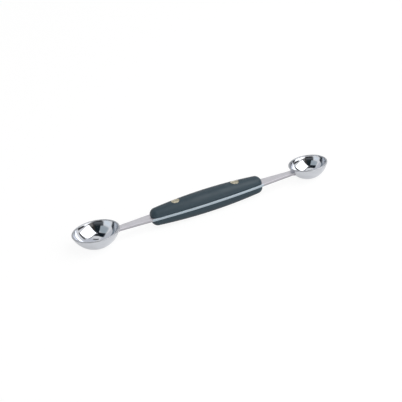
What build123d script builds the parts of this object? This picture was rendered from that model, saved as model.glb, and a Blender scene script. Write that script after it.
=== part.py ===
from build123d import *
from math import acos, asin, atan2, degrees, sqrt
import os

# Double-ended melon baller, in millimetres.
# X runs along the tool, with the large bowl at its minus end. Z points up, out of the bowls.
# The origin lies under the middle of the tool's length, level with the lowest point of the bowls.

# Bowls
large_bowl_radius = 15.0
large_bowl_depth = 11.1
large_drain_radius = 1.5
small_bowl_radius = 12.6
small_bowl_depth = 10.2
small_drain_radius = 1.5
bowl_wall = 1.0
rim_bevel = 0.4

# Strip: a shank to each bowl, and the full tang between them
large_shank_length = 20.4
small_shank_length = 20.8
strip_thickness = 1.6
strip_drop = 3.5
large_neck_width = 4.8
small_neck_width = 4.5
shank_edge_round = 0.3

# Handle
handle_length = 74.6
handle_middle_width = 12.5
handle_end_width = 8.6
scale_middle_height = 6.4
scale_end_height = 4.4
shoulder_radius_share = 0.85
crown_radius_share = 1.333
end_round_share = 0.93
section_place_shares = (-1.0, -0.5, 0.0, 0.5, 1.0)

# Rivets
rivet_spacing = 40.0
rivet_head_radius = 2.7
rivet_head_thickness = 1.6
rivet_tube_radius = 2.0
rivet_pin_radius = 1.3
rivet_end_gap = 0.4

# Fits and cuts
weld_clearance = 0.02
rivet_clearance = 0.05
overrun = 2.0

# Places along the tool
bowls_length = 2 * (large_bowl_radius + small_bowl_radius)
total_length = bowls_length + large_shank_length + handle_length + small_shank_length
large_bowl_x = large_bowl_radius - total_length / 2
handle_start_x = large_bowl_x + large_bowl_radius + large_shank_length
handle_middle_x = handle_start_x + handle_length / 2
handle_end_x = handle_start_x + handle_length
small_bowl_x = handle_end_x + small_shank_length + small_bowl_radius
rivet_places = {
    "large_end": handle_middle_x - rivet_spacing / 2,
    "small_end": handle_middle_x + rivet_spacing / 2,
}


def ball_radius(rim_radius, depth):
    """Radius of the ball that a bowl's outside is a cap of."""
    return (rim_radius ** 2 + depth ** 2) / (2 * depth)


def standing_height(rim_radius, depth, drain_radius):
    """Height of a bowl's rim over the outer edge of its drain hole, which it stands on."""
    ball = ball_radius(rim_radius, depth)
    return depth - ball + sqrt(ball ** 2 - drain_radius ** 2)


# Heights: the two rims are level
rim_z = max(
    standing_height(large_bowl_radius, large_bowl_depth, large_drain_radius),
    standing_height(small_bowl_radius, small_bowl_depth, small_drain_radius),
)
strip_z = rim_z - strip_drop
strip_top_z = strip_z + strip_thickness / 2


def bow(middle, end, half_span, distance):
    """Ordinate of a circular arc, from its values at the middle and at both ends."""
    sagitta = middle - end
    radius = (half_span ** 2 + sagitta ** 2) / (2 * sagitta)
    return middle - radius + sqrt(radius ** 2 - distance ** 2)


def half_width(distance):
    """Half of the handle's width at a distance from its middle."""
    return bow(handle_middle_width, handle_end_width, handle_length / 2, distance) / 2


def crown_height(distance):
    """Height of a scale's crown over the strip at a distance from the handle's middle."""
    return bow(scale_middle_height, scale_end_height, handle_length / 2, distance)


def bowl(centre_x, rim_radius, depth, drain_radius):
    """Stamped bowl: a cap of even wall with a bevelled rim and a drain hole at the bottom."""
    outside = ball_radius(rim_radius, depth)
    inside = outside - bowl_wall
    rise = outside - depth
    outer_turn = degrees(acos(rise / outside))
    inner_turn = degrees(acos(rise / inside))
    outer_start = degrees(asin(drain_radius / outside))
    inner_start = degrees(asin(drain_radius / inside))
    outer_arc = CenterArc((0, rise), outside, outer_start - 90, outer_turn - outer_start)
    inner_arc = CenterArc((0, rise), inside, inner_start - 90, inner_turn - inner_start)
    drain_line = Line(outer_arc @ 0, inner_arc @ 0)
    rim_line = Line(outer_arc @ 1, inner_arc @ 1)
    profile = Plane.XZ * make_face(Curve() + [outer_arc, rim_line, inner_arc, drain_line])
    shell = revolve(profile, Axis.Z)
    rim_edges = shell.edges().filter_by(GeomType.CIRCLE).group_by(Axis.Z)[-1]
    shell = chamfer(rim_edges.sort_by(SortBy.RADIUS)[-1], rim_bevel)
    return Pos(centre_x, 0, rim_z) * shell


def bowl_ball(centre_x, rim_radius, depth):
    """Ball just outside a bowl, which trims the strip's end to a saddle."""
    radius = ball_radius(rim_radius, depth)
    return Pos(centre_x, 0, rim_z - depth + radius) * Sphere(radius + weld_clearance)


def wall_reach(rim_radius, depth):
    """Distance from a bowl's axis to its outside at the strip's height."""
    radius = ball_radius(rim_radius, depth)
    return sqrt(radius ** 2 - (radius - depth + strip_drop) ** 2)


def strip_outline():
    """Plan of the strip: two tapering shanks that run on into the bowls, and the bulged tang between them."""
    large_end_x = large_bowl_x + wall_reach(large_bowl_radius, large_bowl_depth) - overrun
    small_end_x = small_bowl_x - wall_reach(small_bowl_radius, small_bowl_depth) + overrun
    large_corner = (large_end_x, -large_neck_width / 2)
    large_shoulder = (handle_start_x, -handle_end_width / 2)
    middle = (handle_middle_x, -handle_middle_width / 2)
    small_shoulder = (handle_end_x, -handle_end_width / 2)
    small_corner = (small_end_x, -small_neck_width / 2)
    edge = Curve() + [
        Line(large_corner, large_shoulder),
        ThreePointArc(large_shoulder, middle, small_shoulder),
        Line(small_shoulder, small_corner),
    ]
    large_end = Line(large_corner, (large_end_x, large_neck_width / 2))
    small_end = Line(small_corner, (small_end_x, small_neck_width / 2))
    return make_face(edge + mirror(edge, Plane.XZ) + [large_end, small_end])


def is_shank_edge(edge):
    """Whether a straight edge runs along a shank, from a bowl to the handle."""
    start_x = (edge @ 0).X
    end_x = (edge @ 1).X
    return abs(end_x - start_x) > large_shank_length / 2


def tang_strip():
    """Flat strip with saddle ends against the bowls and a hole for each rivet."""
    strip = Pos(0, 0, strip_z) * extrude(strip_outline(), strip_thickness / 2, both=True)
    strip -= bowl_ball(large_bowl_x, large_bowl_radius, large_bowl_depth)
    strip -= bowl_ball(small_bowl_x, small_bowl_radius, small_bowl_depth)
    shank_edges = [edge for edge in strip.edges().filter_by(GeomType.LINE) if is_shank_edge(edge)]
    strip = fillet(shank_edges, shank_edge_round)
    for place_x in rivet_places.values():
        strip -= Pos(place_x, 0, strip_z) * Cylinder(rivet_tube_radius + rivet_clearance, strip_thickness + overrun)
    return strip


def shoulder_radius(distance):
    """Radius of a scale's shoulders at a distance from the handle's middle."""
    return shoulder_radius_share * min(half_width(distance), crown_height(distance))


def scale_section(share):
    """Cross-section of the upper scale: flat base, straight flanks and a three-centred crown."""
    distance = share * handle_length / 2
    side = half_width(distance)
    height = crown_height(distance)
    shoulder = shoulder_radius(distance)
    crown = crown_radius_share * side
    crown_z = height - crown
    shoulder_y = side - shoulder
    shoulder_rise = sqrt((crown - shoulder) ** 2 - shoulder_y ** 2)
    flank_top = crown_z + shoulder_rise
    turn = degrees(atan2(shoulder_rise, shoulder_y))
    outline = Curve() + [
        Line((-side, 0), (side, 0)),
        Line((side, 0), (side, flank_top)),
        CenterArc((shoulder_y, flank_top), shoulder, 0, turn),
        CenterArc((0, crown_z), crown, turn, 180 - 2 * turn),
        CenterArc((-shoulder_y, flank_top), shoulder, 180 - turn, turn),
        Line((-side, flank_top), (-side, 0)),
    ]
    place = Plane((handle_middle_x + distance, 0, strip_top_z), x_dir=(0, 1, 0), z_dir=(1, 0, 0))
    return place * make_face(outline)


def scale_blank():
    """Upper scale before drilling: a barrel loft on the strip, its ends rounded over."""
    blank = loft([scale_section(share) for share in section_place_shares])
    ends = blank.faces().sort_by(Axis.X)
    rims = (ends[0].edges() + ends[-1].edges()).sort_by(Axis.Z)[2:]
    return fillet(rims, end_round_share * shoulder_radius(handle_length / 2))


def rivet_seat(place_x):
    """Height over the strip of the shoulder that a rivet's head bears on."""
    return crown_height(place_x - handle_middle_x) - rivet_head_thickness


def upright(place_x, low_z, high_z, radius):
    """Round bar or cut that stands between two heights over the strip's top face."""
    middle_z = strip_top_z + (low_z + high_z) / 2
    return Pos(place_x, 0, middle_z) * Cylinder(radius, high_z - low_z)


def upper_scale(blank):
    """Upper scale: the blank with a stepped hole for each rivet's tube and head."""
    scale = blank
    for place_x in rivet_places.values():
        seat = rivet_seat(place_x)
        scale -= upright(place_x, -overrun, seat + overrun, rivet_tube_radius + rivet_clearance)
        scale -= upright(place_x, seat, scale_middle_height + overrun, rivet_head_radius + rivet_clearance)
    return scale


def below_strip(shape):
    """The same shape turned over to lie under the strip."""
    return mirror(shape, Plane.XY.offset(strip_z))


def rivet_head(blank, place_x):
    """Rivet head ground flush with the scale's crown."""
    bar = upright(place_x, rivet_seat(place_x), scale_middle_height + overrun, rivet_head_radius)
    return bar & blank


def rivet_socket(blank, place_x):
    """Hollow half of a rivet: the head on the crown and a tube down through the strip."""
    seat = rivet_seat(place_x)
    tube_end = rivet_end_gap - seat - strip_thickness
    tube = upright(place_x, tube_end, seat, rivet_tube_radius)
    bore = upright(place_x, tube_end - overrun, seat, rivet_pin_radius + rivet_clearance)
    return rivet_head(blank, place_x) + (tube - bore)


def rivet_pin(blank, place_x):
    """Solid half of a rivet: the lower head and the pin pressed up into the tube."""
    seat = rivet_seat(place_x)
    pin = upright(place_x, -seat - strip_thickness, seat - rivet_end_gap, rivet_pin_radius)
    return below_strip(rivet_head(blank, place_x)) + pin


def main():
    os.makedirs("parts", exist_ok=True)
    blank = scale_blank()
    upper = upper_scale(blank)
    shapes = {
        "large_bowl": bowl(large_bowl_x, large_bowl_radius, large_bowl_depth, large_drain_radius),
        "small_bowl": bowl(small_bowl_x, small_bowl_radius, small_bowl_depth, small_drain_radius),
        "tang_strip": tang_strip(),
        "upper_scale": upper,
        "lower_scale": below_strip(upper),
    }
    for end_name, place_x in rivet_places.items():
        shapes[f"{end_name}_rivet_socket"] = rivet_socket(blank, place_x)
        shapes[f"{end_name}_rivet_pin"] = rivet_pin(blank, place_x)
    for name, shape in shapes.items():
        export_step(shape, f"parts/{name}.step")


main()
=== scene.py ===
"""Looks of a double-ended melon baller: two polished bowls on a riveted tang with moulded handle scales."""

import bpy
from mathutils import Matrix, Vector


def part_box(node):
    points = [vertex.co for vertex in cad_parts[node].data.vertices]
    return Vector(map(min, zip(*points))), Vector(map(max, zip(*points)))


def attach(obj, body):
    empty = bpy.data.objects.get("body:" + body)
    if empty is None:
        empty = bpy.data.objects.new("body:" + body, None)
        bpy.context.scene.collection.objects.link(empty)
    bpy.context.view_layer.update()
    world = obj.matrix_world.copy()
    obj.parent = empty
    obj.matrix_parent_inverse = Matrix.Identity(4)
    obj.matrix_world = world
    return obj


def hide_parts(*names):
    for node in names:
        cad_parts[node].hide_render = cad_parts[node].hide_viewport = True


bl_info = {
    "name": "Melon Baller",
    "version": (1, 0, 0),
    "blender": (4, 5, 0),
    "location": "3D View > Sidebar > Melon Baller",
    "description": "Models and dresses a double-ended melon baller on its construction frame",
    "category": "Add Mesh",
}

from math import atan2, cos, pi, radians, sin, sqrt, tan

import bmesh
import bpy
from bpy.props import FloatProperty, FloatVectorProperty, IntProperty, PointerProperty
from mathutils import Matrix, Vector

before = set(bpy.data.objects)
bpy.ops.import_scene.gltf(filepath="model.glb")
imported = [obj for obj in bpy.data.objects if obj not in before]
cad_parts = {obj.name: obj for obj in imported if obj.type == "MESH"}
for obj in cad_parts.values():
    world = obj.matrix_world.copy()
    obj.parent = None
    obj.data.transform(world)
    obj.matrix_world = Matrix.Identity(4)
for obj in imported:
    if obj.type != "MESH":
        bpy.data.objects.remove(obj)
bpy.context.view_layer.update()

mm = 0.001
small = 0.002 * mm
overrun = 2 * mm

# Angles between faces, in radians
smooth_angle = radians(32)
sharp_angle = 1.0

# Steps in round and swept shapes
edge_steps = 3
rim_steps = 5
shoulder_steps = 14
crown_steps = 10
end_steps = 12
tang_steps = 28
scale_steps = 26
bar_sides = 96
ball_sides = 256

# Places read from the frame
large_bowl_low, large_bowl_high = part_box("large_bowl")
small_bowl_low, small_bowl_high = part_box("small_bowl")
scale_low, scale_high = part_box("upper_scale")
rim_z = large_bowl_high.z
strip_top = scale_low.z
strip_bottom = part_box("lower_scale")[1].z
strip_middle = (strip_top + strip_bottom) / 2
handle_start = scale_low.x
handle_end = scale_high.x
handle_middle = (handle_start + handle_end) / 2
rivet_ends = ("large_end", "small_end")


def rivet_x(end):
    """Place along the tool of the rivet nearer one end."""
    low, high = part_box(f"{end}_rivet_socket")
    return (low.x + high.x) / 2


def length(name, description, default):
    """A size that a user may change."""
    return FloatProperty(name=name, description=description, default=default, min=0, unit="LENGTH", precision=5)


def colour(name, description, default):
    """A colour that a user may change."""
    limits = {"min": 0, "max": 1, "size": 3}
    return FloatVectorProperty(name=name, description=description, default=default, subtype="COLOR", **limits)


def rotation(name, description, default):
    """An angle, in degrees, that a user may change."""
    return FloatProperty(name=name, description=description, default=radians(default), subtype="ANGLE")


def share(name, description, default, high=1.0):
    """A plain number that a user may change."""
    return FloatProperty(name=name, description=description, default=default, min=0, max=high)


class BowlSettings(bpy.types.PropertyGroup):
    """Sizes and finish of the two bowls."""

    large_rim_radius: length("Large rim radius", "Outer radius of the large bowl's rim before its bevel", 15.0 * mm)
    large_depth: length("Large depth", "Depth of the large bowl's outside, as a full cap", 11.1 * mm)
    small_rim_radius: length("Small rim radius", "Outer radius of the small bowl's rim before its bevel", 12.6 * mm)
    small_depth: length("Small depth", "Depth of the small bowl's outside, as a full cap", 10.2 * mm)
    wall: length("Wall", "Thickness of the stamped steel", 1.0 * mm)
    rim_round: length("Rim round", "Rounding of the rim's outer edge", 0.5 * mm)
    edge_round: length("Edge round", "Rounding of the rim's inner edge and of the drain hole", 0.12 * mm)
    drain_radius: length("Drain radius", "Radius of the hole at the bottom", 1.5 * mm)
    segments: IntProperty(name="Segments", description="Facets round a bowl", default=192, min=24, max=256)
    steel: colour("Steel", "Colour that the polished steel gives its reflections", (0.60, 0.615, 0.65))
    roughness: share("Roughness", "Roughness of the polish", 0.05)
    rim_roughness: share("Rim roughness", "Roughness of the tumbled rim", 0.45)


class StripSettings(bpy.types.PropertyGroup):
    """Sizes and finish of the strip that makes both shanks and the tang."""

    large_neck: length("Large neck", "Width of the shank where it runs into the large bowl", 4.8 * mm)
    small_neck: length("Small neck", "Width of the shank where it runs into the small bowl", 4.5 * mm)
    shoulder: length("Shoulder", "Width of the strip where the handle begins", 8.6 * mm)
    middle: length("Middle", "Width of the tang in the middle of the handle", 12.5 * mm)
    edge_round: length("Edge round", "Rounding of the long edges", 0.22 * mm)
    weld_flare: length("Weld flare", "How far the weld at each bowl stands out from the shank", 0.3 * mm)
    weld_length: length("Weld length", "How far the weld reaches along the shank", 0.9 * mm)
    bowl_gap: length("Bowl gap", "Space between the strip's end and the bowl's outside", 0.02 * mm)
    steel: colour("Steel", "Colour of the brushed steel", (0.64, 0.63, 0.665))
    # Painted shade: a darker colour for the shanks' side faces.
    shaded_edge_steel: colour("Edge steel", "Colour of the sheared edges of the shanks", (0.43, 0.42, 0.45))
    # Painted shade: a darker bluish colour for the tang's side faces between the scales.
    shaded_tang_steel: colour("Tang steel", "Colour of the tang's edges between the scales", (0.42, 0.49, 0.545))


class ScaleSettings(bpy.types.PropertyGroup):
    """Sizes and finish of the two handle scales."""

    middle_width: length("Middle width", "Width in the middle of the handle", scale_high.y - scale_low.y)
    end_width: length("End width", "Width at the ends of the handle", 8.6 * mm)
    middle_height: length("Middle height", "Height over the strip in the middle", scale_high.z - scale_low.z)
    end_height: length("End height", "Height over the strip at the ends", 4.4 * mm)
    end_round: length("End round", "Rounding over the ends", 3.4 * mm)
    base_round: length("Base round", "Rounding of the edge that meets the strip", 0.2 * mm)
    shoulder_share: share("Shoulder share", "Radius of the shoulders as a share of the half width", 0.85)
    crown_share: share("Crown share", "Radius of the crown as a share of the half width", 1.333, 4.0)
    plastic: colour("Plastic", "Colour of the moulded plastic", (0.017, 0.039, 0.055))


class RivetSettings(bpy.types.PropertyGroup):
    """Sizes and finish of the two-part rivets."""

    head_radius: length("Head radius", "Radius of a head", 2.7 * mm)
    head_thickness: length("Head thickness", "Thickness of a head in the middle of the crown", 1.6 * mm)
    head_round: length("Head round", "Rounding of a head's edge", 0.12 * mm)
    tube_radius: length("Tube radius", "Outer radius of the hollow half", 2.0 * mm)
    pin_radius: length("Pin radius", "Radius of the solid half", 1.3 * mm)
    clearance: length("Clearance", "Space round heads, tubes and pins", 0.05 * mm)
    end_gap: length("End gap", "Space left beyond the end of a tube or pin", 0.4 * mm)
    brass: colour("Brass", "Colour of the pale brass", (0.52, 0.48, 0.36))


class StudioSettings(bpy.types.PropertyGroup):
    """Camera, lamps and background."""

    azimuth: rotation("Azimuth", "Turn of the camera round the tool", -16.82)
    elevation: rotation("Elevation", "Height of the camera over the horizon", 25.54)
    roll: rotation("Roll", "Turn of the picture", 10.355)
    distance: length("Distance", "From the camera to the tool", 720 * mm)
    lens: FloatProperty(name="Lens", description="Focal length in millimetres", default=103.8, min=1)
    softbox_light: share("Softbox light", "Brightness of the softbox, where one is white", 2.2, 10.0)
    fill_light: share("Fill light", "Brightness of the low lamp in front, where one is white", 0.85, 10.0)
    room_light: share("Room light", "Brightness of the light that comes from all round", 0.4, 2.0)
    background: colour("Background", "Colour of the background and of what the steel mirrors", (1.0, 1.0, 1.0))
    floor: colour("Floor", "Colour of the floor", (0.8, 0.8, 0.8))


# Helpers for modelling
def select_only(piece):
    """Make a piece the only selected object and the active one."""
    bpy.ops.object.select_all(action="DESELECT")
    piece.select_set(True)
    bpy.context.view_layer.objects.active = piece


def start_object(name):
    """Name the primitive that was just added and begin to edit it, with nothing else selected."""
    piece = bpy.context.object
    piece.name = name
    piece.data.name = name
    select_only(piece)
    bpy.ops.object.mode_set(mode="EDIT")
    bpy.ops.mesh.select_mode(type="VERT")
    return piece


def edit_again(piece):
    """Go back to editing a finished piece, with nothing else selected."""
    select_only(piece)
    bpy.ops.object.mode_set(mode="EDIT")


def select(piece, kind, test):
    """Select, in edit mode, the vertices, edges or faces that pass a test."""
    bpy.ops.mesh.select_mode(type=kind)
    bpy.ops.mesh.select_all(action="DESELECT")
    mesh = bmesh.from_edit_mesh(piece.data)
    items = {"VERT": mesh.verts, "EDGE": mesh.edges, "FACE": mesh.faces}[kind]
    for item in items:
        if test(item):
            item.select_set(True)
    mesh.select_flush_mode()
    bmesh.update_edit_mesh(piece.data)


def spot(piece, vertex):
    """Place of a vertex in the frame."""
    return piece.matrix_world @ vertex.co


def both_ends(piece, edge, test):
    """Whether both ends of an edge pass a test on their place."""
    return all(test(spot(piece, vertex)) for vertex in edge.verts)


def near(value, target, margin=small):
    """Whether two lengths are the same."""
    return abs(value - target) < margin


def cut_across(place, direction, **clear):
    """Cut everything along a plane, and clear one side if that is asked for."""
    bpy.ops.mesh.select_all(action="SELECT")
    bpy.ops.mesh.bisect(plane_co=place, plane_no=direction, threshold=small / 10, **clear)


def round_off(offset, steps, affect="EDGES", **more):
    """Round the selected edges or corners."""
    bpy.ops.mesh.bevel(offset=offset, segments=steps, profile=0.5, affect=affect, **more)


def settle(piece):
    """Leave edit mode with the place in the mesh, the normals outwards and the shading smooth."""
    bpy.ops.mesh.select_all(action="SELECT")
    bpy.ops.mesh.normals_make_consistent(inside=False)
    bpy.ops.object.mode_set(mode="OBJECT")
    select_only(piece)
    bpy.ops.object.transform_apply(location=True, rotation=True, scale=True)
    bpy.ops.object.shade_smooth_by_angle(angle=smooth_angle)
    return piece


def combine(piece, tool, operation):
    """Cut or keep part of a piece with a tool object, and remove the tool."""
    select_only(piece)
    modifier = piece.modifiers.new(operation.title(), "BOOLEAN")
    modifier.operation = operation
    modifier.solver = "EXACT"
    modifier.object = tool
    bpy.ops.object.modifier_apply(modifier=modifier.name)
    bpy.data.objects.remove(tool)


def copy_of(piece, name):
    """A copy of a piece with a mesh of its own."""
    select_only(piece)
    bpy.ops.object.duplicate(linked=False)
    twin = bpy.context.object
    twin.name = name
    twin.data.name = name
    return twin


def bar(name, x, low, high, radius):
    """Upright round bar between two heights, used as a cutter or as a rivet's blank."""
    middle = (x, 0, (low + high) / 2)
    bpy.ops.mesh.primitive_cylinder_add(vertices=bar_sides, radius=radius, depth=high - low, location=middle)
    piece = start_object(name)
    return settle(piece)


def dress(piece, node, material):
    """Let a finished piece stand for its construction node, with its material."""
    piece.data.materials.clear()
    piece.data.materials.append(material)
    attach(piece, "root")
    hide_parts(node)


# Helpers for materials
class Nodes:
    """A node tree, with short ways to add, feed and join its nodes."""

    def __init__(self, tree):
        self.tree = tree

    def feed(self, socket, value):
        """Link an output to a socket, or give the socket a value of its own."""
        if isinstance(value, bpy.types.NodeSocket):
            self.tree.links.new(value, socket)
        elif socket.type == "RGBA":
            socket.default_value = (*value, 1)
        else:
            socket.default_value = value

    def add(self, kind, **settings):
        """Add a node, set its fields and feed its inputs."""
        node = self.tree.nodes.new(kind)
        for name, value in settings.items():
            if hasattr(node, name):
                setattr(node, name, value)
            else:
                self.feed(node.inputs[name.replace("_", " ")], value)
        return node

    def join(self, kind, *values, **settings):
        """Add a node that takes some values in order and gives one."""
        node = self.add(kind, **settings)
        for socket, value in zip(node.inputs, values):
            self.feed(socket, value)
        return node.outputs[0]

    def reckon(self, operation, *values):
        """Work out a number from others."""
        return self.join("ShaderNodeMath", *values, operation=operation)

    def blend(self, factor, first, second):
        """Mix two colours by a factor, with the node's sockets for colours."""
        node = self.add("ShaderNodeMix", data_type="RGBA")
        for place, value in ((0, factor), (6, first), (7, second)):
            self.feed(node.inputs[place], value)
        return node.outputs[2]

    def part(self, vector, axis):
        """One part of a vector."""
        return self.add("ShaderNodeSeparateXYZ", Vector=vector).outputs[axis]

    def noise(self, vector, scale, detail=3.0, roughness=0.5):
        """Noise with features of about one over its scale."""
        look = {"Scale": scale, "Detail": detail, "Roughness": roughness}
        return self.add("ShaderNodeTexNoise", Vector=vector, **look).outputs["Fac"]

    def rings(self, vector, scale, distortion):
        """Rings about the upright axis."""
        kind = {"wave_type": "RINGS", "rings_direction": "Z"}
        look = {"Scale": scale, "Distortion": distortion, "Detail": 3.0}
        return self.add("ShaderNodeTexWave", **kind, Vector=vector, **look).outputs["Fac"]

    def span(self, value, low, high, start=0.0, end=1.0):
        """Turn a value into another range."""
        ends = {"From_Min": start, "From_Max": end, "To_Min": low, "To_Max": high}
        return self.add("ShaderNodeMapRange", Value=value, **ends).outputs["Result"]

    def bump(self, height, strength, distance, **under):
        """Raise the surface by a height, over another bump if one is given."""
        node = self.add("ShaderNodeBump", Height=height, Strength=strength, Distance=distance, **under)
        return node.outputs["Normal"]


class Surface(Nodes):
    """The node tree of a new material, with its Principled shader ready."""

    def __init__(self, name):
        self.material = bpy.data.materials.new(name)
        self.material.use_nodes = True
        super().__init__(self.material.node_tree)
        self.shader = self.tree.nodes["Principled BSDF"]

    def coordinates(self, kind="Object"):
        """Places, directions or sheet coordinates on the surface."""
        return self.add("ShaderNodeTexCoord").outputs[kind]

    def place(self, centre=(0, 0, 0), stretch=(1, 1, 1)):
        """Object coordinates about a centre, stretched along the axes."""
        offset = [-c * s for c, s in zip(centre, stretch)]
        look = {"vector_type": "POINT", "Location": offset, "Scale": stretch}
        return self.add("ShaderNodeMapping", Vector=self.coordinates(), **look).outputs["Vector"]

    def set(self, name, value):
        """Feed a socket of the Principled shader."""
        self.feed(self.shader.inputs[name], value)

    def show(self, shader):
        """Let another shader make the looks."""
        self.feed(self.tree.nodes["Material Output"].inputs["Surface"], shader)


def shade(colour_value, factor):
    """A colour made lighter or darker."""
    return tuple(min(1.0, part * factor) for part in colour_value)


def polished_steel(name, centre, settings):
    """Mirror-polished steel with faint turned lines about a bowl's axis, an uneven sheen, and a rougher tumbled rim
    whose colour is darkened as painted shade.
    """
    nodes = Surface(name)
    about = nodes.place(centre)
    smudge = nodes.noise(about, 130.0, detail=4.0, roughness=0.6)
    ripple = nodes.noise(about, 260.0, detail=1.0)
    lines = nodes.rings(about, 1400.0, distortion=2.0)
    polish = nodes.span(smudge, settings.roughness * 0.6, settings.roughness * 1.5, 0.3, 0.7)
    height = nodes.part(nodes.coordinates(), "Z")
    on_rim = nodes.span(height, 0.0, 1.0, rim_z - 0.6 * mm, rim_z - 0.35 * mm)
    inside = nodes.blend(smudge, shade(settings.steel, 0.97), shade(settings.steel, 1.03))
    # Painted shade: the rim band's colour is darkened to dim its reflections; its added roughness is the tumbled
    # finish.
    rim = nodes.blend(smudge, shade(settings.steel, 0.7), shade(settings.steel, 0.8))
    nodes.set("Base Color", nodes.blend(on_rim, inside, rim))
    tumbled = nodes.reckon("MULTIPLY", on_rim, settings.rim_roughness)
    nodes.set("Roughness", nodes.reckon("MAXIMUM", polish, tumbled))
    nodes.set("Metallic", 1.0)
    waviness = nodes.bump(ripple, 0.05, 0.2 * mm)
    nodes.set("Normal", nodes.bump(lines, 0.015, 0.02 * mm, Normal=waviness))
    return nodes.material


def brushed_steel(name, settings):
    """Matte steel with long brushed lines along the strip, and painted shade that darkens its sheared side faces,
    bluish along the tang.
    """
    nodes = Surface(name)
    streaks = nodes.noise(nodes.place(stretch=(35, 2600, 2600)), 1.0, detail=4.0, roughness=0.65)
    broad = nodes.noise(nodes.place(stretch=(60, 240, 240)), 1.0, detail=2.0)
    face = nodes.blend(streaks, shade(settings.steel, 0.9), shade(settings.steel, 1.08))
    from_middle = nodes.reckon("ABSOLUTE", nodes.part(nodes.place((handle_middle, 0, 0)), "X"))
    half_span = (handle_end - handle_start) / 2
    on_shank = nodes.span(from_middle, 0.0, 1.0, half_span, half_span + 0.5 * mm)
    # Painted shade: the side faces take a darker colour, bluish along the tang and grey on the shanks.
    edge = nodes.blend(on_shank, settings.shaded_tang_steel, settings.shaded_edge_steel)
    side_shade_mask = nodes.reckon("ABSOLUTE", nodes.part(nodes.coordinates("Normal"), "Y"))
    nodes.set("Base Color", nodes.blend(nodes.span(side_shade_mask, 0.0, 1.0, 0.3, 0.8), face, edge))
    nodes.set("Roughness", nodes.span(broad, 0.34, 0.46, 0.3, 0.7))
    nodes.set("Metallic", 1.0)
    nodes.set("Normal", nodes.bump(streaks, 0.12, 0.03 * mm))
    return nodes.material


def moulded_plastic(name, settings):
    """Satin slate plastic with a fine moulded grain and faint long flow marks."""
    nodes = Surface(name)
    grain = nodes.noise(nodes.place(), 2600.0, roughness=0.6)
    flow = nodes.noise(nodes.place(stretch=(45, 300, 300)), 1.0)
    cloud = nodes.noise(nodes.place(), 90.0, detail=2.0)
    nodes.set("Base Color", nodes.blend(flow, shade(settings.plastic, 0.86), shade(settings.plastic, 1.14)))
    nodes.set("Roughness", nodes.span(cloud, 0.48, 0.58, 0.3, 0.7))
    nodes.set("Specular IOR Level", 0.5)
    nodes.set("Normal", nodes.bump(grain, 0.22, 0.05 * mm))
    return nodes.material


def ground_brass(name, centre, settings):
    """Pale brass ground flush with the crown, with turned lines about the rivet's axis."""
    nodes = Surface(name)
    about = nodes.place(centre)
    lines = nodes.rings(about, 900.0, distortion=1.5)
    stain = nodes.noise(about, 500.0)
    patches = nodes.span(stain, 0.0, 1.0, 0.36, 0.62)
    nodes.set("Base Color", nodes.blend(patches, shade(settings.brass, 0.5), shade(settings.brass, 1.25)))
    nodes.set("Roughness", nodes.span(stain, 0.24, 0.38, 0.3, 0.7))
    nodes.set("Metallic", 1.0)
    nodes.set("Normal", nodes.bump(lines, 0.08, 0.03 * mm))
    return nodes.material


# Bowls
def ball_radius(rim_radius, depth):
    """Radius of the ball that a bowl's outside is a cap of."""
    return (rim_radius ** 2 + depth ** 2) / (2 * depth)


def ball_centre(node, ball, depth):
    """Centre of the ball that a bowl's outside is a cap of."""
    low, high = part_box(node)
    return Vector(((low.x + high.x) / 2, 0, rim_z - depth + ball))


def bowl_sizes(settings):
    """Rim radius and depth of each bowl."""
    return {
        "large_bowl": (settings.large_rim_radius, settings.large_depth),
        "small_bowl": (settings.small_rim_radius, settings.small_depth),
    }


def wall_section(name, centre, ball, settings):
    """Section of a bowl's wall: two concentric arcs, a flat rim and a straight drain hole."""
    turn = (pi / 2, 0, 0)
    bpy.ops.mesh.primitive_circle_add(vertices=settings.segments * 2, radius=ball, location=centre, rotation=turn)
    piece = start_object(name)
    bpy.ops.mesh.select_all(action="SELECT")
    bpy.ops.mesh.extrude_edges_move()
    inwards = (ball - settings.wall) / ball
    bpy.ops.transform.resize(value=(inwards, inwards, inwards), center_override=centre)
    cut_across((0, 0, rim_z), (0, 0, 1), clear_outer=True)
    cut_across((centre.x + settings.drain_radius, 0, 0), (1, 0, 0), clear_inner=True)
    select(piece, "EDGE", lambda edge: not edge.is_boundary)
    bpy.ops.mesh.delete(type="EDGE_FACE")
    return piece


def round_corner(piece, corner, offset, steps):
    """Round one corner of a section, once the points that crowd it are gone."""
    select(piece, "VERT", lambda vertex: small < (spot(piece, vertex) - corner).length < 1.5 * offset)
    bpy.ops.mesh.dissolve_verts()
    select(piece, "VERT", lambda vertex: (spot(piece, vertex) - corner).length < small)
    round_off(offset, steps, "VERTICES")


def bowl_shell(name, centre, ball, settings):
    """Bowl of even wall, its section turned once round the upright axis."""
    piece = wall_section(name, centre, ball, settings)
    for radius in (ball, ball - settings.wall):
        rim_reach = sqrt(radius ** 2 - (centre.z - rim_z) ** 2)
        drain_drop = sqrt(radius ** 2 - settings.drain_radius ** 2)
        round_rim = settings.rim_round if radius == ball else settings.edge_round
        round_corner(piece, Vector((centre.x + rim_reach, 0, rim_z)), round_rim, rim_steps)
        drain_corner = Vector((centre.x + settings.drain_radius, 0, centre.z - drain_drop))
        round_corner(piece, drain_corner, settings.edge_round, edge_steps)
    bpy.ops.mesh.select_all(action="SELECT")
    bpy.ops.mesh.spin(steps=settings.segments, angle=2 * pi, center=centre, axis=(0, 0, 1))
    bpy.ops.mesh.select_all(action="SELECT")
    bpy.ops.mesh.remove_doubles(threshold=small)
    return settle(piece)


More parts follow.
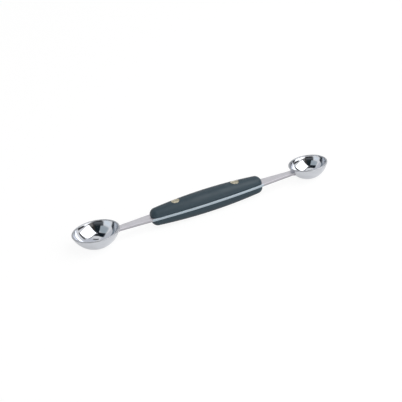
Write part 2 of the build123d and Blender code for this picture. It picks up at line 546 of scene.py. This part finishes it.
class MELON_OT_bowls(bpy.types.Operator):
    """Model the two polished bowls"""

    bl_idname = "melon.bowls"
    bl_label = "Polished bowls"

    def execute(self, context):
        settings = context.scene.melon_bowls
        for node, (rim_radius, depth) in bowl_sizes(settings).items():
            ball = ball_radius(rim_radius, depth)
            centre = ball_centre(node, ball, depth)
            piece = bowl_shell(f"polished_{node}", centre, ball, settings)
            dress(piece, node, polished_steel(f"polished_steel_{node}", centre, settings))
        return {"FINISHED"}


# Strip
def bow(middle, end, half_span, distance):
    """Ordinate of a circular arc, from its values at the middle and at both ends."""
    sagitta = middle - end
    radius = (half_span ** 2 + sagitta ** 2) / (2 * sagitta)
    return middle - radius + sqrt(radius ** 2 - distance ** 2)


def widen(piece, x, value):
    """Scale the ring of vertices at one place along the tool, about the strip's middle."""
    select(piece, "VERT", lambda vertex: near(spot(piece, vertex).x, x))
    bpy.ops.transform.resize(value=value, center_override=(x, 0, strip_middle))


def stations(start, end, count):
    """Evenly spaced places between two ends, both left out."""
    return [start + (end - start) * step / count for step in range(1, count)]


def bowl_wall_x(node, rim_radius, depth):
    """Place where the middle plane of the strip meets a bowl's outside."""
    ball = ball_radius(rim_radius, depth)
    centre = ball_centre(node, ball, depth)
    reach = sqrt(ball ** 2 - (centre.z - strip_middle) ** 2)
    return centre.x + reach if centre.x < handle_middle else centre.x - reach


def saddle_cutter(node, rim_radius, depth, gap):
    """Ball just outside a bowl, which cuts the strip's end to a saddle."""
    ball = ball_radius(rim_radius, depth)
    centre = ball_centre(node, ball, depth)
    bpy.ops.mesh.primitive_uv_sphere_add(
        segments=ball_sides, ring_count=ball_sides // 2, radius=ball + gap, location=centre
    )
    return settle(start_object(f"{node}_cutter"))


def strip_width(x, settings, large_wall, small_wall):
    """Width of the strip at one place along the tool."""
    if handle_start <= x <= handle_end:
        half_span = (handle_end - handle_start) / 2
        return bow(settings.middle, settings.shoulder, half_span, x - handle_middle)
    neck = settings.large_neck if x < handle_start else settings.small_neck
    wall = large_wall if x < handle_start else small_wall
    near_end = handle_start if x < handle_start else handle_end
    along = (x - wall) / (near_end - wall)
    return neck + (settings.shoulder - neck) * along


def tang(name, settings, bowls, hole_radius):
    """Strip with tapering shanks, a bulged tang, softened edges and a flared weld at each bowl."""
    large_wall = bowl_wall_x("large_bowl", bowls.large_rim_radius, bowls.large_depth)
    small_wall = bowl_wall_x("small_bowl", bowls.small_rim_radius, bowls.small_depth)
    start = large_wall - overrun
    end = small_wall + overrun
    thickness = strip_top - strip_bottom
    middle = ((start + end) / 2, 0, strip_middle)
    bpy.ops.mesh.primitive_cube_add(size=1, location=middle, scale=(end - start, settings.middle, thickness))
    piece = start_object(name)
    welds = {
        large_wall + settings.weld_length: 0.0,
        large_wall + settings.weld_length / 2: 0.3,
        large_wall: 1.0,
        start: 1.0,
        small_wall - settings.weld_length: 0.0,
        small_wall - settings.weld_length / 2: 0.3,
        small_wall: 1.0,
        end: 1.0,
    }
    rings = [handle_start, *stations(handle_start, handle_end, tang_steps), handle_end]
    rings += [x for x in welds if start < x < end]
    for x in rings:
        cut_across((x, 0, 0), (1, 0, 0))
    for x in [start, *rings, end]:
        flare = 2 * settings.weld_flare * welds.get(x, 0.0)
        width = strip_width(x, settings, start, end) + flare
        widen(piece, x, (1, width / settings.middle, (thickness + flare) / thickness))

    def is_long_edge(edge):
        first, second = (spot(piece, vertex) for vertex in edge.verts)
        runs_along = abs(first.x - second.x) > small
        return runs_along and first.y * second.y > 0 and near(first.z, second.z, settings.weld_flare)

    def is_sharp(edge):
        return len(edge.link_faces) == 2 and edge.calc_face_angle() > sharp_angle

    select(piece, "EDGE", lambda edge: is_sharp(edge) and is_long_edge(edge))
    round_off(settings.edge_round, edge_steps)
    settle(piece)
    for rivet_end in rivet_ends:
        cutter = bar("hole_cutter", rivet_x(rivet_end), strip_bottom - overrun, strip_top + overrun, hole_radius)
        combine(piece, cutter, "DIFFERENCE")
    for node, sizes in bowl_sizes(bowls).items():
        combine(piece, saddle_cutter(node, *sizes, settings.bowl_gap), "DIFFERENCE")
    return piece


class MELON_OT_strip(bpy.types.Operator):
    """Model the steel strip that makes both shanks and the tang"""

    bl_idname = "melon.strip"
    bl_label = "Shanks and tang"

    def execute(self, context):
        settings = context.scene.melon_strip
        rivets = context.scene.melon_rivets
        hole_radius = rivets.tube_radius + rivets.clearance
        piece = tang("brushed_tang_strip", settings, context.scene.melon_bowls, hole_radius)
        bpy.ops.object.shade_smooth_by_angle(angle=smooth_angle)
        dress(piece, "tang_strip", brushed_steel("brushed_steel", settings))
        return {"FINISHED"}


# Handle scales
def swept_section(piece, settings):
    """Sweep the long edge round the scale's section: flank, shoulder, crown, shoulder and flank."""
    side = settings.middle_width / 2
    height = settings.middle_height
    shoulder = settings.shoulder_share * side
    crown = settings.crown_share * side
    crown_z = strip_top + height - crown
    shoulder_y = side - shoulder
    shoulder_rise = sqrt((crown - shoulder) ** 2 - shoulder_y ** 2)
    flank_top = crown_z + shoulder_rise
    turn = atan2(shoulder_rise, shoulder_y)
    flank = flank_top - strip_top
    bpy.ops.mesh.extrude_edges_move(TRANSFORM_OT_translate={"value": (0, 0, flank)})
    arcs = (
        (shoulder_steps, turn, (0, shoulder_y, flank_top)),
        (crown_steps, pi - 2 * turn, (0, 0, crown_z)),
        (shoulder_steps, turn, (0, -shoulder_y, flank_top)),
    )
    for steps_round, angle, centre in arcs:
        bpy.ops.mesh.spin(steps=steps_round, angle=angle, center=centre, axis=(-1, 0, 0))
    bpy.ops.mesh.extrude_edges_move(TRANSFORM_OT_translate={"value": (0, 0, -flank)})


def scale_blank(name, settings):
    """Upper scale before drilling: a barrel with a three-centred crown and rounded ends."""
    span = handle_end - handle_start
    side = settings.middle_width / 2
    bpy.ops.mesh.primitive_plane_add(size=span, location=(handle_middle, side + span / 2, strip_top))
    piece = start_object(name)
    select(piece, "VERT", lambda vertex: vertex.co.y > 0)
    bpy.ops.mesh.delete(type="VERT")
    bpy.ops.mesh.select_all(action="SELECT")
    swept_section(piece, settings)
    bpy.ops.mesh.select_all(action="SELECT")
    bpy.ops.mesh.remove_doubles(threshold=small)
    for end in (handle_start, handle_end):
        select(piece, "EDGE", lambda edge: both_ends(piece, edge, lambda at: near(at.x, end)))
        bpy.ops.mesh.edge_face_add()
    select(piece, "EDGE", lambda edge: edge.is_boundary)
    bpy.ops.mesh.edge_face_add()
    bpy.ops.mesh.select_all(action="SELECT")
    bpy.ops.mesh.normals_make_consistent(inside=False)
    margin = 1.4 * settings.end_round
    first = handle_start + margin
    last = handle_end - margin
    rings = [first, *stations(first, last, scale_steps), last]
    for x in rings:
        cut_across((x, 0, 0), (1, 0, 0))
    for x in [handle_start, *rings, handle_end]:
        width = bow(settings.middle_width, settings.end_width, span / 2, x - handle_middle)
        height = bow(settings.middle_height, settings.end_height, span / 2, x - handle_middle)
        select(piece, "VERT", lambda vertex: near(spot(piece, vertex).x, x))
        factors = (1, width / settings.middle_width, height / settings.middle_height)
        bpy.ops.transform.resize(value=factors, center_override=(x, 0, strip_top))

    def on_end_rim(edge):
        on_end = any(both_ends(piece, edge, lambda at: near(at.x, end)) for end in (handle_start, handle_end))
        return on_end and not both_ends(piece, edge, lambda at: near(at.z, strip_top))

    select(piece, "EDGE", on_end_rim)
    round_off(settings.end_round, end_steps, clamp_overlap=False)

    def on_base_rim(edge):
        return both_ends(piece, edge, lambda at: near(at.z, strip_top)) and edge.calc_face_angle(0) > sharp_angle

    select(piece, "EDGE", on_base_rim)
    round_off(settings.base_round, edge_steps)
    return settle(piece)


def crown_height(x, settings):
    """Height of the crown over the strip at one place along the tool."""
    return bow(settings.middle_height, settings.end_height, (handle_end - handle_start) / 2, x - handle_middle)


def drill_scale(piece, settings, rivets):
    """Drill a stepped hole through an upper scale for each rivet."""
    top = strip_top + settings.middle_height + overrun
    for end in rivet_ends:
        x = rivet_x(end)
        seat = strip_top + crown_height(x, settings) - rivets.head_thickness
        head = bar("head_cutter", x, seat, top, rivets.head_radius + rivets.clearance)
        combine(piece, head, "DIFFERENCE")
        tube = bar("tube_cutter", x, strip_top - overrun, seat + mm / 2, rivets.tube_radius + rivets.clearance)
        combine(piece, tube, "DIFFERENCE")


def turn_under(piece):
    """Turn a piece over to lie under the strip."""
    edit_again(piece)
    bpy.ops.mesh.select_all(action="SELECT")
    bpy.ops.transform.resize(value=(1, 1, -1), center_override=(0, 0, strip_middle))
    return settle(piece)


class MELON_OT_scales(bpy.types.Operator):
    """Model the two handle scales"""

    bl_idname = "melon.scales"
    bl_label = "Handle scales"

    def execute(self, context):
        settings = context.scene.melon_scales
        upper = scale_blank("moulded_upper_scale", settings)
        drill_scale(upper, settings, context.scene.melon_rivets)
        bpy.ops.object.shade_smooth_by_angle(angle=smooth_angle)
        lower = turn_under(copy_of(upper, "moulded_lower_scale"))
        plastic = moulded_plastic("slate_plastic", settings)
        dress(upper, "upper_scale", plastic)
        dress(lower, "lower_scale", plastic)
        return {"FINISHED"}


# Rivets
def rivet_head(name, x, seat, top, rivets, blank):
    """Head ground flush with the crown, with a softened edge."""
    piece = bar(name, x, seat, top, rivets.head_radius)
    combine(piece, copy_of(blank, "crown_cutter"), "INTERSECT")
    edit_again(piece)

    def reach(at):
        return sqrt((at.x - x) ** 2 + at.y ** 2)

    def on_top_edge(edge):
        on_side = both_ends(piece, edge, lambda at: near(reach(at), rivets.head_radius, 0.01 * mm))
        over_seat = both_ends(piece, edge, lambda at: at.z > seat + small)
        return on_side and over_seat and edge.calc_face_angle(0) > sharp_angle

    select(piece, "EDGE", on_top_edge)
    round_off(rivets.head_round, edge_steps)
    return piece


def grow_shaft(piece, seat, head_radius, radius, low, bore=None):
    """Draw the shaft down from under the head, and bore it out if it is the hollow half."""
    select(piece, "FACE", lambda face: face.normal.z < -0.9 and near(spot(piece, face.verts[0]).z, seat))
    bpy.ops.mesh.inset(thickness=head_radius - radius, depth=0)
    bpy.ops.mesh.extrude_region_move(TRANSFORM_OT_translate={"value": (0, 0, low - seat)})
    if bore is not None:
        bpy.ops.mesh.inset(thickness=radius - bore, depth=0)
        bpy.ops.mesh.extrude_region_move(TRANSFORM_OT_translate={"value": (0, 0, seat - low)})
    return settle(piece)


class MELON_OT_rivets(bpy.types.Operator):
    """Model the two-part rivets"""

    bl_idname = "melon.rivets"
    bl_label = "Rivets"

    def execute(self, context):
        rivets = context.scene.melon_rivets
        scales = context.scene.melon_scales
        top = strip_top + scales.middle_height + overrun
        bore = rivets.pin_radius + rivets.clearance
        halves = (("socket", rivets.tube_radius, bore), ("pin", rivets.pin_radius, None))
        blank = scale_blank("crown_blank", scales)
        for end in rivet_ends:
            x = rivet_x(end)
            seat_height = crown_height(x, scales) - rivets.head_thickness
            seat = strip_top + seat_height
            shaft_end = strip_bottom - seat_height + rivets.end_gap
            brass = ground_brass(f"pale_brass_{end}", (x, 0, 0), rivets)
            for half, radius, hollow in halves:
                piece = rivet_head(f"ground_{end}_rivet_{half}", x, seat, top, rivets, blank)
                grow_shaft(piece, seat, rivets.head_radius, radius, shaft_end, hollow)
                if half == "pin":
                    turn_under(piece)
                dress(piece, f"{end}_rivet_{half}", brass)
        bpy.data.objects.remove(blank)
        return {"FINISHED"}


# Stage
def seen_directly(nodes):
    """Factor that is one for what the camera, polished metal and glass see, and zero for light."""
    path = nodes.add("ShaderNodeLightPath").outputs
    first = nodes.reckon("MAXIMUM", path["Is Camera Ray"], path["Is Glossy Ray"])
    return nodes.reckon("MAXIMUM", first, path["Is Transmission Ray"])


def studio_world(settings):
    """White surroundings to look at, and a softer light from all round."""
    world = bpy.data.worlds.new("studio_world")
    bpy.context.scene.world = world
    world.use_nodes = True
    nodes = Nodes(world.node_tree)
    light = (settings.room_light,) * 3
    tone = nodes.blend(seen_directly(nodes), light, settings.background)
    nodes.feed(nodes.tree.nodes["Background"].inputs["Color"], tone)


def glowing_floor(nodes, glow, matte):
    """Floor shader that is white in the open and a little darker in shadow."""
    matte_shader = nodes.join("ShaderNodeBsdfDiffuse", (matte,) * 3)
    glow_shader = nodes.join("ShaderNodeEmission", Strength=glow)
    return nodes.join("ShaderNodeAddShader", matte_shader, glow_shader)


def floor_material(settings):
    """Pale floor that looks as white as the background but keeps a faint shadow."""
    nodes = Surface("pale_floor")
    nodes.set("Base Color", settings.floor)
    nodes.set("Roughness", 0.9)
    nodes.set("Specular IOR Level", 0.0)
    to_camera = nodes.add("ShaderNodeLightPath").outputs["Is Camera Ray"]
    mirrored = glowing_floor(nodes, glow=0.5, matte=0.55)
    seen = glowing_floor(nodes, glow=0.9, matte=0.13)
    unlit = nodes.join("ShaderNodeMixShader", seen_directly(nodes), nodes.shader.outputs[0], mirrored)
    nodes.show(nodes.join("ShaderNodeMixShader", to_camera, unlit, seen))
    return nodes.material


def studio_floor(settings, bowls):
    """Floor that touches both bowls, curved up far behind the tool."""
    large = ball_radius(bowls.large_rim_radius, bowls.large_depth)
    small_one = ball_radius(bowls.small_rim_radius, bowls.small_depth)
    gap = (small_bowl_low.x + small_bowl_high.x - large_bowl_low.x - large_bowl_high.x) / 2
    rise = (large - bowls.large_depth) - (small_one - bowls.small_depth)
    tilt = (large - small_one - rise) / gap
    large_x = (large_bowl_low.x + large_bowl_high.x) / 2
    breadth, wall_height = 6, 3
    curve, curve_steps = 1, 16
    bpy.ops.mesh.primitive_plane_add(size=breadth, location=(large_x, 0, 0))
    piece = start_object("pale_floor")
    select(piece, "EDGE", lambda edge: both_ends(piece, edge, lambda at: at.y > small))
    bpy.ops.mesh.extrude_edges_move(TRANSFORM_OT_translate={"value": (0, 0, wall_height)})
    select(piece, "EDGE", lambda edge: both_ends(piece, edge, lambda at: at.y > small and near(at.z, 0)))
    round_off(curve, curve_steps)
    bpy.ops.object.mode_set(mode="OBJECT")
    piece.rotation_euler = (0, -tilt, 0)
    bpy.ops.object.transform_apply(location=True, rotation=True, scale=True)
    bpy.ops.object.shade_smooth_by_angle(angle=smooth_angle)
    piece.data.materials.append(floor_material(settings))


def card_material(name, top_tone, bottom_tone, softness):
    """Glowing tone of a card that paints a reflection, from its top to its bottom edge, fading out towards its
    edges.
    """
    nodes = Surface(name)
    covers = []
    for axis in ("X", "Y"):
        fold = nodes.reckon("PINGPONG", nodes.part(nodes.coordinates("UV"), axis), 0.5)
        covers.append(nodes.span(fold, 0.0, 1.0, 0.0, softness))
    cover = nodes.reckon("MULTIPLY", *covers)
    height = nodes.part(nodes.coordinates("UV"), "Y")
    glow = nodes.join("ShaderNodeEmission", nodes.blend(height, bottom_tone, top_tone))
    clear = nodes.join("ShaderNodeBsdfTransparent")
    nodes.show(nodes.join("ShaderNodeMixShader", cover, clear, glow))
    return nodes.material


def outwards(azimuth, elevation):
    """Direction from the tool, in degrees, with azimuth turned from +X towards +Y."""
    azimuth = radians(azimuth)
    elevation = radians(elevation)
    return Vector((cos(azimuth) * cos(elevation), sin(azimuth) * cos(elevation), sin(elevation)))


def facing(direction, across):
    """Turn that lays a board square to a direction, with its width along another."""
    back = direction.normalized()
    side = (across - back * across.dot(back)).normalized()
    return Matrix((side, back.cross(side), back)).transposed()


def level_across(direction):
    """Level direction that runs across a board which faces the tool."""
    return Vector((0, 0, 1)).cross(direction)


def card(name, place, back, across, width, height, material):
    """Soft-edged card, a painted reflection that only polished surfaces see, with its back to a direction."""
    bpy.ops.mesh.primitive_plane_add(size=1, location=(0, 0, 0))
    piece = start_object(name)
    bpy.ops.mesh.select_all(action="SELECT")
    bpy.ops.transform.resize(value=(width, height, 1))
    bpy.ops.object.mode_set(mode="OBJECT")
    piece.matrix_world = Matrix.Translation(place) @ facing(back, across).to_4x4()
    bpy.ops.object.transform_apply(location=True, rotation=True, scale=True)
    piece.data.materials.append(material)
    piece.visible_camera = False
    piece.visible_diffuse = False
    piece.visible_shadow = False


def side_card(name, azimuths, elevations, top_tone, bottom_tone, softness=0.12, distance=1.0):
    """Card that faces the tool and fills a range of directions, at a distance in metres."""
    middle = outwards(sum(azimuths) / 2, sum(elevations) / 2)
    level_share = sqrt(middle.x ** 2 + middle.y ** 2)
    width = 2 * tan(radians(azimuths[1] - azimuths[0]) / 2) * level_share * distance
    height = 2 * tan(radians(elevations[1] - elevations[0]) / 2) * distance
    material = card_material(name, top_tone, bottom_tone, softness)
    card(name, middle * distance, middle, level_across(middle), width, height, material)


def upright_card(name, azimuths, elevations, top_tone, bottom_tone, softness, distance):
    """Card that stands upright between two azimuths and two elevations, at a distance in metres."""
    ahead = outwards(sum(azimuths) / 2, 0)
    low, high = (tan(radians(elevation)) * distance for elevation in elevations)
    width = 2 * tan(radians(azimuths[1] - azimuths[0]) / 2) * distance
    place = ahead * distance + Vector((0, 0, (low + high) / 2))
    material = card_material(name, top_tone, bottom_tone, softness)
    card(name, place, ahead, level_across(ahead), width, high - low, material)


def slanting_card(name, start, end, breadth, tone, distance):
    """Narrow card from one direction to another, with its breadth in degrees."""
    start = outwards(*start) * distance
    end = outwards(*end) * distance
    middle = (start + end) / 2
    height = radians(breadth) * distance
    card(name, middle, middle, end - start, (end - start).length, height, card_material(name, tone, tone, 0.2))


def ceiling_card(name, start, end, width, tone):
    """Card that faces the tool a metre over it, from one place to another."""
    start = Vector((*start, 1.0))
    end = Vector((*end, 1.0))
    middle = (start + end) / 2
    card(name, middle, middle, end - start, (end - start).length, width, card_material(name, tone, tone, 0.15))


def studio_cards():
    """Dark, grey and pale glowing cards that paint reflected shapes into the polished bowls, unseen by the camera
    and giving no light or shadow.
    """
    upright_card("far_dark_card", (-112, -70), (12, 70), (0.035, 0.037, 0.036), (0.06, 0.056, 0.052), 0.04, 2.6)
    upright_card("far_grey_card", (-98, -72), (13, 38), (0.24, 0.23, 0.22), (0.26, 0.25, 0.24), 0.2, 2.4)
    upright_card("dark_panel_card", (-142, -103), (26, 72), (0.011, 0.02, 0.027), (0.02, 0.03, 0.034), 0.1, 1.0)
    upright_card("lower_grey_card", (-158, -98), (15, 37), (0.06, 0.07, 0.075), (0.17, 0.18, 0.19), 0.12, 1.25)
    upright_card("dark_streak_card", (-154, -94), (9, 19), (0.02, 0.02, 0.02), (0.02, 0.02, 0.02), 0.2, 1.2)
    # Painted highlight: a white card glowing twice as bright as white, seen only in reflections.
    upright_card("low_white_card", (-100, -26), (1, 19), (2.0, 2.0, 2.0), (2.0, 2.0, 2.0), 0.12, 1.6)
    ceiling_card("dark_beam_card", (-0.62, 0.41), (-0.15, -0.32), 0.4, (0.008, 0.014, 0.02))
    ceiling_card("zenith_dark_card", (-0.3, -0.03), (0.04, -0.22), 0.24, (0.03, 0.035, 0.04))
    # Painted grey reflection of the softbox's top edge.
    ceiling_card("painted_softbox_top_edge", (-0.06, -0.24), (0.16, -0.13), 0.14, (0.25, 0.25, 0.25))
    side_card("blue_grey_card", (-205, -126), (28, 68), (0.45, 0.52, 0.56), (0.5, 0.56, 0.6), 0.2, 3.2)
    side_card("pale_side_card", (-202, -150), (6, 30), (0.98, 1.06, 1.12), (0.98, 1.06, 1.12), 0.3, 1.2)
    ceiling_card("grey_top_card", (-0.12, 0.36), (0.28, 0.168), 0.17, (0.12, 0.13, 0.14))
    side_card("lavender_card", (12, 64), (18, 76), (0.72, 0.74, 0.8), (0.78, 0.8, 0.84), 0.2, 2.2)
    upright_card("lavender_side_card", (92, 152), (14, 68), (0.72, 0.74, 0.78), (0.76, 0.78, 0.82), 0.12, 2.3)
    upright_card("dark_spot_card", (120, 162), (0.5, 20), (0.05, 0.06, 0.075), (0.05, 0.06, 0.075), 0.2, 2.1)
    upright_card("grey_corner_card", (-22, -5), (-1, 15), (0.45, 0.45, 0.46), (0.45, 0.45, 0.46), 0.3, 1.45)
    # Painted reflections of the softbox's dark and grey edges and corners.
    slanting_card("painted_softbox_side_edge", (-4, 14), (22, 45), 11, (0.03, 0.03, 0.03), 1.5)
    slanting_card("painted_softbox_upper_corner", (-45, 77), (5, 66), 6, (0.45, 0.45, 0.46), 1.5)
    slanting_card("painted_softbox_right_edge", (-2, 68), (16, 54), 6, (0.5, 0.5, 0.52), 1.5)
    slanting_card("painted_softbox_lower_corner", (-58, 18), (-6, 6), 9, (0.05, 0.05, 0.05), 1.5)


def lamp(name, place, back, across, width, height, brightness):
    """Rectangular lamp with its back to a direction, as bright as a white card times its brightness."""
    data = bpy.data.lights.new(name, "AREA")
    data.shape = "RECTANGLE"
    data.size = width
    data.size_y = height
    data.energy = brightness * pi * width * height
    holder = bpy.data.objects.new(name, data)
    bpy.context.scene.collection.objects.link(holder)
    holder.matrix_world = Matrix.Translation(place) @ facing(back, across).to_4x4()
    holder.visible_camera = False
    return holder


def studio_lamps(settings):
    """Large softbox over the front right of the tool, and a low fill in front."""
    place = Vector((1.053, -0.513, 1.533))
    back = Vector((0.358, -0.864, 0.355))
    across = Vector((0.887, 0.433, 0.158))
    width, height = 2.33, 1.76
    lamp("softbox", place, back, across, width, height, settings.softbox_light)
    place = outwards(azimuth=-84, elevation=20) * 1.4
    across = Vector((1, 0, 0))
    width, height = 1.4, 0.5
    fill = lamp("low_fill", place, place, across, width, height, settings.fill_light)
    fill.visible_glossy = False


def studio_camera(settings):
    """Camera at the photograph's viewing angle and framing."""
    azimuth = settings.azimuth
    elevation = settings.elevation
    back = Vector((sin(azimuth) * cos(elevation), -cos(azimuth) * cos(elevation), sin(elevation)))
    right = Vector((cos(azimuth), sin(azimuth), 0))
    up = back.cross(right)
    turned_right = right * cos(settings.roll) - up * sin(settings.roll)
    turned_up = right * sin(settings.roll) + up * cos(settings.roll)
    shift = turned_right * 2.06 * mm + turned_up * 3.2 * mm
    aim = Vector((1.2 * mm, 0, 11.03 * mm)) - shift
    data = bpy.data.cameras.new("studio_camera")
    data.lens = settings.lens
    data.sensor_width = 36
    data.clip_start = 0.01
    data.clip_end = 20
    holder = bpy.data.objects.new("studio_camera", data)
    bpy.context.scene.collection.objects.link(holder)
    turn = Matrix((turned_right, turned_up, back)).transposed().to_4x4()
    holder.matrix_world = Matrix.Translation(aim + back * settings.distance) @ turn
    bpy.context.scene.camera = holder


class MELON_OT_stage(bpy.types.Operator):
    """Set up the floor, the lamps, the cards and the camera"""

    bl_idname = "melon.stage"
    bl_label = "Studio"

    def execute(self, context):
        settings = context.scene.melon_studio
        studio_world(settings)
        studio_floor(settings, context.scene.melon_bowls)
        studio_cards()
        studio_lamps(settings)
        studio_camera(settings)
        context.scene.view_settings.view_transform = "Standard"
        return {"FINISHED"}


class MELON_PT_panel(bpy.types.Panel):
    """Lists the pieces and the studio"""

    bl_idname = "MELON_PT_panel"
    bl_label = "Melon Baller"
    bl_space_type = "VIEW_3D"
    bl_region_type = "UI"
    bl_category = "Melon Baller"

    def draw(self, context):
        for operator, settings in steps.items():
            box = self.layout.box()
            box.operator(operator)
            group = getattr(context.scene, settings)
            for name in group.__annotations__:
                box.prop(group, name)


steps = {
    "melon.bowls": "melon_bowls",
    "melon.strip": "melon_strip",
    "melon.scales": "melon_scales",
    "melon.rivets": "melon_rivets",
    "melon.stage": "melon_studio",
}
groups = {
    "melon_bowls": BowlSettings,
    "melon_strip": StripSettings,
    "melon_scales": ScaleSettings,
    "melon_rivets": RivetSettings,
    "melon_studio": StudioSettings,
}
classes = (MELON_OT_bowls, MELON_OT_strip, MELON_OT_scales, MELON_OT_rivets, MELON_OT_stage, MELON_PT_panel)


def register():
    """Add the settings and the tools to Blender."""
    for name, group in groups.items():
        bpy.utils.register_class(group)
        setattr(bpy.types.Scene, name, PointerProperty(type=group))
    for item in classes:
        bpy.utils.register_class(item)


def unregister():
    """Take the tools and the settings out again."""
    for item in reversed(classes):
        bpy.utils.unregister_class(item)
    for name, group in groups.items():
        delattr(bpy.types.Scene, name)
        bpy.utils.unregister_class(group)


def main():
    """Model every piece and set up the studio."""
    register()
    bpy.ops.melon.bowls()
    bpy.ops.melon.strip()
    bpy.ops.melon.scales()
    bpy.ops.melon.rivets()
    bpy.ops.melon.stage()


if __name__ == "__main__":
    main()
